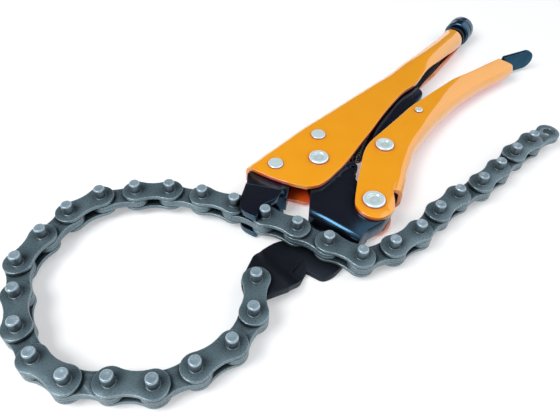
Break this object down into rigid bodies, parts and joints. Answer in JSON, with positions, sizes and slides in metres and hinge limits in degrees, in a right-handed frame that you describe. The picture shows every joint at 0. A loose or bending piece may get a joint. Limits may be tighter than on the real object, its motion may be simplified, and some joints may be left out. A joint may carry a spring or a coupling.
{
  "type": "chain clamp",
  "caption": "Locking hand clamp whose leaf chain loops round the work; two sheet-metal handles, toggle link, release lever and screw knob.",
  "frame": {"origin": "middle of the footprint, at the height of the lowest face", "axes": "the tool lies on its side: +Z is normal to the plane of the chain and the handles, +Y runs from the chain's loop to the screw knob, +X to the side where the chain's free end lies"},
  "size_m": [0.2698, 0.2734, 0.0169],
  "materials": {
    "orange_enamel": "gloss enamel on pressed steel",
    "black_enamel": "gloss black on steel",
    "chain_steel": "satin oiled steel",
    "bright_zinc": "bright zinc plate",
    "spring_steel": "drawn wire",
    "plain_steel": "machined steel",
    "blued_steel": "blue-black oxide"
  },
  "bodies": {
    "clamp_body": {"fixed_handle": "orange_enamel", "fixed_jaw": "black_enamel", "jaw_pivot_rivet": "bright_zinc", "jaw_rivet_front": "bright_zinc", "jaw_rivet_rear": "bright_zinc", "screw_collar": "plain_steel", "tension_spring": "spring_steel"},
    "jaw_arm": {"movable_jaw": "black_enamel", "handle_pivot_rivet": "bright_zinc"},
    "lever_handle": {"lower_handle": "orange_enamel", "toggle_rivet": "bright_zinc", "release_rivet": "bright_zinc"},
    "toggle": {"toggle_link": "black_enamel"},
    "release": {"release_lever": "blued_steel"},
    "screw": {"adjusting_screw": "plain_steel", "screw_knob": "blued_steel"},
    "chain_01": {"link_01": "chain_steel"},
    "chain_02": {"link_02": "chain_steel"},
    "chain_03": {"link_03": "chain_steel"},
    "chain_04": {"link_04": "chain_steel"},
    "chain_05": {"link_05": "chain_steel"},
    "chain_06": {"link_06": "chain_steel"},
    "chain_07": {"link_07": "chain_steel"},
    "chain_08": {"link_08": "chain_steel"},
    "chain_09": {"link_09": "chain_steel"},
    "chain_10": {"link_10": "chain_steel"},
    "chain_11": {"link_11": "chain_steel"},
    "chain_12": {"link_12": "chain_steel"},
    "chain_13": {"link_13": "chain_steel"},
    "chain_14": {"link_14": "chain_steel"},
    "chain_15": {"link_15": "chain_steel"},
    "chain_16": {"link_16": "chain_steel"},
    "chain_17": {"link_17": "chain_steel"},
    "chain_18": {"link_18": "chain_steel"},
    "chain_19": {"link_19": "chain_steel"},
    "chain_20": {"link_20": "chain_steel"},
    "chain_21": {"link_21": "chain_steel"},
    "chain_22": {"link_22": "chain_steel"},
    "chain_23": {"link_23": "chain_steel"},
    "chain_24": {"link_24": "chain_steel"},
    "chain_25": {"link_25": "chain_steel"},
    "chain_26": {"link_26": "chain_steel"},
    "chain_27": {"link_27": "chain_steel"},
    "chain_28": {"link_28": "chain_steel"},
    "chain_29": {"link_29": "chain_steel"},
    "chain_30": {"link_30": "chain_steel"}
  },
  "joints": [
    {"name": "jaw_hinge", "type": "hinge", "parent": "clamp_body", "child": "jaw_arm", "pos_m": [-0.00288, -0.01161, 0.0081], "axis": [0, 0, 1], "range_deg": [0, 4], "deforming": ["tension_spring"]},
    {"name": "handle_hinge", "type": "hinge", "parent": "jaw_arm", "child": "lever_handle", "pos_m": [0.02235, -0.03882, 0.0081], "axis": [0, 0, 1], "range_deg": [-20, 0]},
    {"name": "toggle_hinge", "type": "hinge", "parent": "lever_handle", "child": "toggle", "pos_m": [0.03095, 0.00021, 0.0081], "axis": [0, 0, 1], "range_deg": [0, 27.2]},
    {"name": "release_hinge", "type": "hinge", "parent": "lever_handle", "child": "release", "pos_m": [0.05243, 0.03046, 0.0081], "axis": [0, 0, 1], "range_deg": [-2, 0]},
    {"name": "screw_turn", "type": "hinge", "parent": "clamp_body", "child": "screw", "pos_m": [0.08858, 0.11853, 0.0081], "axis": [0.5075, 0.8616, 0], "continuous": true},
    {"name": "chain_hinge_01", "type": "hinge", "parent": "jaw_arm", "child": "chain_01", "pos_m": [-0.02935, -0.08351, 0.0081], "axis": [0, 0, 1], "range_deg": [-2.51, 0]},
    {"name": "chain_hinge_02", "type": "hinge", "parent": "chain_01", "child": "chain_02", "pos_m": [-0.02935, -0.09938, 0.0081], "axis": [0, 0, 1], "range_deg": [-1.07, 0]},
    {"name": "chain_hinge_03", "type": "hinge", "parent": "chain_02", "child": "chain_03", "pos_m": [-0.03643, -0.11359, 0.0081], "axis": [0, 0, 1], "range_deg": [-0.364, 0]},
    {"name": "chain_hinge_04", "type": "hinge", "parent": "chain_03", "child": "chain_04", "pos_m": [-0.04886, -0.12347, 0.0081], "axis": [0, 0, 1], "range_deg": [0, 0.324]},
    {"name": "chain_hinge_05", "type": "hinge", "parent": "chain_04", "child": "chain_05", "pos_m": [-0.06294, -0.1308, 0.0081], "axis": [0, 0, 1], "range_deg": [0, 1.07]},
    {"name": "chain_hinge_06", "type": "hinge", "parent": "chain_05", "child": "chain_06", "pos_m": [-0.07881, -0.13052, 0.0081], "axis": [0, 0, 1], "range_deg": [0, 0.636]},
    {"name": "chain_hinge_07", "type": "hinge", "parent": "chain_06", "child": "chain_07", "pos_m": [-0.09469, -0.13052, 0.0081], "axis": [0, 0, 1], "range_deg": [0, 0.592]},
    {"name": "chain_hinge_08", "type": "hinge", "parent": "chain_07", "child": "chain_08", "pos_m": [-0.10864, -0.12295, 0.0081], "axis": [0, 0, 1], "range_deg": [0, 0.492]},
    {"name": "chain_hinge_09", "type": "hinge", "parent": "chain_08", "child": "chain_09", "pos_m": [-0.11874, -0.1107, 0.0081], "axis": [0, 0, 1], "range_deg": [0, 0.372]},
    {"name": "fork_hinge", "type": "hinge", "parent": "clamp_body", "child": "chain_18", "pos_m": [-0.02759, -0.04848, 0.0081], "axis": [0, 0, 1], "range_deg": [0, 1.57]},
    {"name": "chain_hinge_18", "type": "hinge", "parent": "chain_18", "child": "chain_17", "pos_m": [-0.04215, -0.04215, 0.0081], "axis": [0, 0, 1], "range_deg": [0, 0.32]},
    {"name": "chain_hinge_17", "type": "hinge", "parent": "chain_17", "child": "chain_16", "pos_m": [-0.0574, -0.03778, 0.0081], "axis": [0, 0, 1], "range_deg": [0, 0.436]},
    {"name": "chain_hinge_16", "type": "hinge", "parent": "chain_16", "child": "chain_15", "pos_m": [-0.07306, -0.03515, 0.0081], "axis": [0, 0, 1], "range_deg": [0, 0.508]},
    {"name": "chain_hinge_15", "type": "hinge", "parent": "chain_15", "child": "chain_14", "pos_m": [-0.08886, -0.03668, 0.0081], "axis": [0, 0, 1], "range_deg": [0, 0.452]},
    {"name": "chain_hinge_14", "type": "hinge", "parent": "chain_14", "child": "chain_13", "pos_m": [-0.10412, -0.04105, 0.0081], "axis": [0, 0, 1], "range_deg": [0, 0.348]},
    {"name": "chain_hinge_13", "type": "hinge", "parent": "chain_13", "child": "chain_12", "pos_m": [-0.11592, -0.05167, 0.0081], "axis": [0, 0, 1], "range_deg": [0, 0.28]},
    {"name": "chain_hinge_12", "type": "hinge", "parent": "chain_12", "child": "chain_11", "pos_m": [-0.12337, -0.06569, 0.0081], "axis": [0, 0, 1], "range_deg": [0, 0.272]},
    {"name": "chain_hinge_11", "type": "hinge", "parent": "chain_11", "child": "chain_10", "pos_m": [-0.1288, -0.08061, 0.0081], "axis": [0, 0, 1], "range_deg": [-0.332, 0]},
    {"name": "chain_hinge_19", "type": "hinge", "parent": "clamp_body", "child": "chain_19", "pos_m": [-0.02759, -0.04848, 0.0081], "axis": [0, 0, 1], "range_deg": [-10, 0]},
    {"name": "chain_hinge_20", "type": "hinge", "parent": "chain_19", "child": "chain_20", "pos_m": [-0.01287, -0.05443, 0.0081], "axis": [0, 0, 1], "range_deg": [-12, 0]},
    {"name": "chain_hinge_21", "type": "hinge", "parent": "chain_20", "child": "chain_21", "pos_m": [0.00102, -0.06212, 0.0081], "axis": [0, 0, 1], "range_deg": [-12, 0]},
    {"name": "chain_hinge_22", "type": "hinge", "parent": "chain_21", "child": "chain_22", "pos_m": [0.01516, -0.06933, 0.0081], "axis": [0, 0, 1], "range_deg": [-12, 0]},
    {"name": "chain_hinge_23", "type": "hinge", "parent": "chain_22", "child": "chain_23", "pos_m": [0.02966, -0.06287, 0.0081], "axis": [0, 0, 1], "range_deg": [-12, 0]},
    {"name": "chain_hinge_24", "type": "hinge", "parent": "chain_23", "child": "chain_24", "pos_m": [0.04226, -0.05321, 0.0081], "axis": [0, 0, 1], "range_deg": [-12, 0]},
    {"name": "chain_hinge_25", "type": "hinge", "parent": "chain_24", "child": "chain_25", "pos_m": [0.05257, -0.04114, 0.0081], "axis": [0, 0, 1], "range_deg": [-12, 1]},
    {"name": "chain_hinge_26", "type": "hinge", "parent": "chain_25", "child": "chain_26", "pos_m": [0.06379, -0.02991, 0.0081], "axis": [0, 0, 1], "range_deg": [-12, 1]},
    {"name": "chain_hinge_27", "type": "hinge", "parent": "chain_26", "child": "chain_27", "pos_m": [0.0768, -0.02081, 0.0081], "axis": [0, 0, 1], "range_deg": [-12, 2]},
    {"name": "chain_hinge_28", "type": "hinge", "parent": "chain_27", "child": "chain_28", "pos_m": [0.08793, -0.00949, 0.0081], "axis": [0, 0, 1], "range_deg": [-12, 2]},
    {"name": "chain_hinge_29", "type": "hinge", "parent": "chain_28", "child": "chain_29", "pos_m": [0.09865, 0.00222, 0.0081], "axis": [0, 0, 1], "range_deg": [-12, 2]},
    {"name": "chain_hinge_30", "type": "hinge", "parent": "chain_29", "child": "chain_30", "pos_m": [0.11035, 0.01294, 0.0081], "axis": [0, 0, 1], "range_deg": [-12, 2]}
  ],
  "couplings": [
    {"joint": "handle_hinge", "follows": "jaw_hinge", "ratio": -5},
    {"joint": "toggle_hinge", "follows": "jaw_hinge", "ratio": 6.8},
    {"joint": "chain_hinge_01", "follows": "jaw_hinge", "ratio": -0.628},
    {"joint": "chain_hinge_02", "follows": "jaw_hinge", "ratio": -0.268},
    {"joint": "chain_hinge_03", "follows": "jaw_hinge", "ratio": -0.091},
    {"joint": "chain_hinge_04", "follows": "jaw_hinge", "ratio": 0.081},
    {"joint": "chain_hinge_05", "follows": "jaw_hinge", "ratio": 0.267},
    {"joint": "chain_hinge_06", "follows": "jaw_hinge", "ratio": 0.159},
    {"joint": "chain_hinge_07", "follows": "jaw_hinge", "ratio": 0.148},
    {"joint": "chain_hinge_08", "follows": "jaw_hinge", "ratio": 0.123},
    {"joint": "chain_hinge_09", "follows": "jaw_hinge", "ratio": 0.093},
    {"joint": "fork_hinge", "follows": "jaw_hinge", "ratio": 0.392},
    {"joint": "chain_hinge_18", "follows": "jaw_hinge", "ratio": 0.08},
    {"joint": "chain_hinge_17", "follows": "jaw_hinge", "ratio": 0.109},
    {"joint": "chain_hinge_16", "follows": "jaw_hinge", "ratio": 0.127},
    {"joint": "chain_hinge_15", "follows": "jaw_hinge", "ratio": 0.113},
    {"joint": "chain_hinge_14", "follows": "jaw_hinge", "ratio": 0.087},
    {"joint": "chain_hinge_13", "follows": "jaw_hinge", "ratio": 0.07},
    {"joint": "chain_hinge_12", "follows": "jaw_hinge", "ratio": 0.068},
    {"joint": "chain_hinge_11", "follows": "jaw_hinge", "ratio": -0.083}
  ]
}
